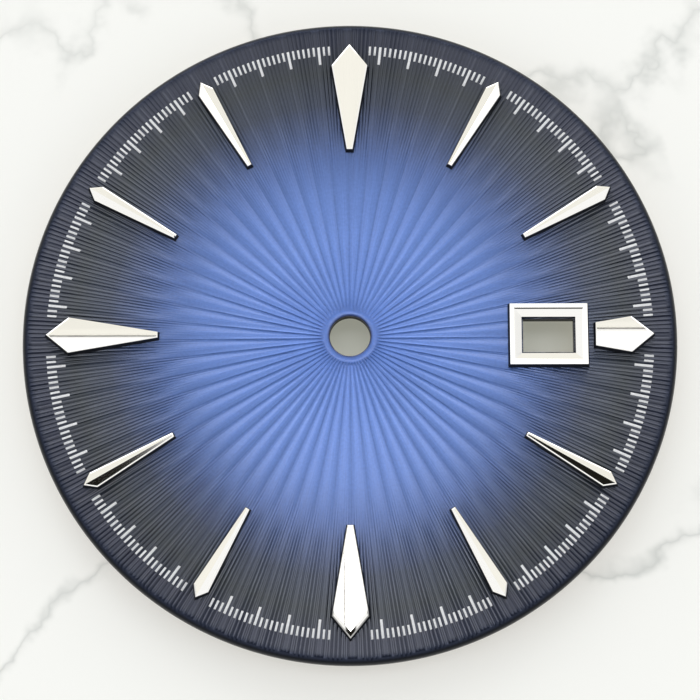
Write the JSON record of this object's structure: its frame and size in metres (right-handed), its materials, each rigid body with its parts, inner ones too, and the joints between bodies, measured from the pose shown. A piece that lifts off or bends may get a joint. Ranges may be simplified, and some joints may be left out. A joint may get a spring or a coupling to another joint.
{
  "type": "watch dial",
  "caption": "Round fluted watch dial with applied faceted hour markers, a printed minute scale, a framed date window at three o'clock and feet on its back.",
  "frame": {"origin": "centre of the centre hole, in the plane of the dial's flat back face", "axes": "+Z out of the front towards the wearer, +Y towards twelve o'clock, +X towards three o'clock and the date window"},
  "size_m": [0.0285, 0.0284, 0.0025],
  "materials": {
    "dial_plate": "pressed brass, lacquered blue in the middle and fading to charcoal at the edge",
    "scale_ink": "pad-printed off-white ink",
    "hour_markers": "diamond-cut and rhodium plated, mirror polished",
    "date_frame": "rhodium plated, polished",
    "pin_cement": "amber cement, cured in a dab",
    "dial_feet": "drawn copper wire, bare"
  },
  "bodies": {
    "root": {"dial_plate": "dial_plate", "minute_marks": "scale_ink", "second_marks": "scale_ink", "date_frame": "date_frame", "pin_cement": "pin_cement", "hour_marker_12": "hour_markers", "hour_marker_01": "hour_markers", "hour_marker_02": "hour_markers", "hour_marker_03": "hour_markers", "hour_marker_04": "hour_markers", "hour_marker_05": "hour_markers", "hour_marker_06": "hour_markers", "hour_marker_07": "hour_markers", "hour_marker_08": "hour_markers", "hour_marker_09": "hour_markers", "hour_marker_10": "hour_markers", "hour_marker_11": "hour_markers", "dial_foot_1": "dial_feet", "dial_foot_2": "dial_feet", "dial_foot_3": "dial_feet", "dial_foot_4": "dial_feet"}
  },
  "joints": []
}
